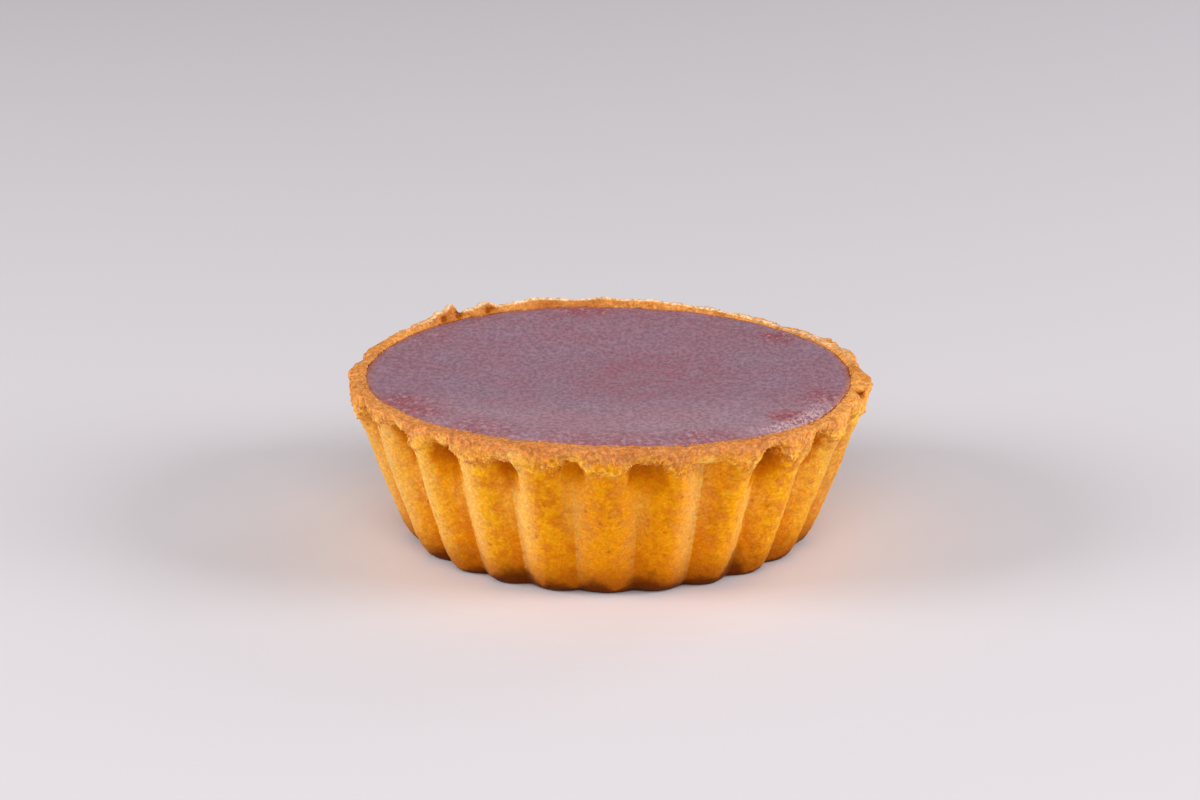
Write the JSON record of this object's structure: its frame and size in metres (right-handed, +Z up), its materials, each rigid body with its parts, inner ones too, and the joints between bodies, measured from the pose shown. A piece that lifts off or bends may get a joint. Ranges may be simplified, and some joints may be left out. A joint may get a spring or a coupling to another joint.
{
  "type": "fluted cheese tartlet",
  "caption": "Small round tart: a fluted shortcrust shell with a bulging lip, filled level to the brim with smooth purple yam cheese custard.",
  "frame": {"origin": "middle of the flat underside, on the surface the tart stands on", "axes": "+Z up out of the filling, -Y towards the side that the picture shows, +X to the right as seen from there"},
  "size_m": [0.0758, 0.0754, 0.0265],
  "materials": {
    "crust": "baked shortcrust, golden, matte and crumbly",
    "ube_filling": "set custard skin, greyish mauve, satin with damp patches"
  },
  "bodies": {
    "root": {"crust": "crust", "ube_filling": "ube_filling"}
  },
  "joints": []
}
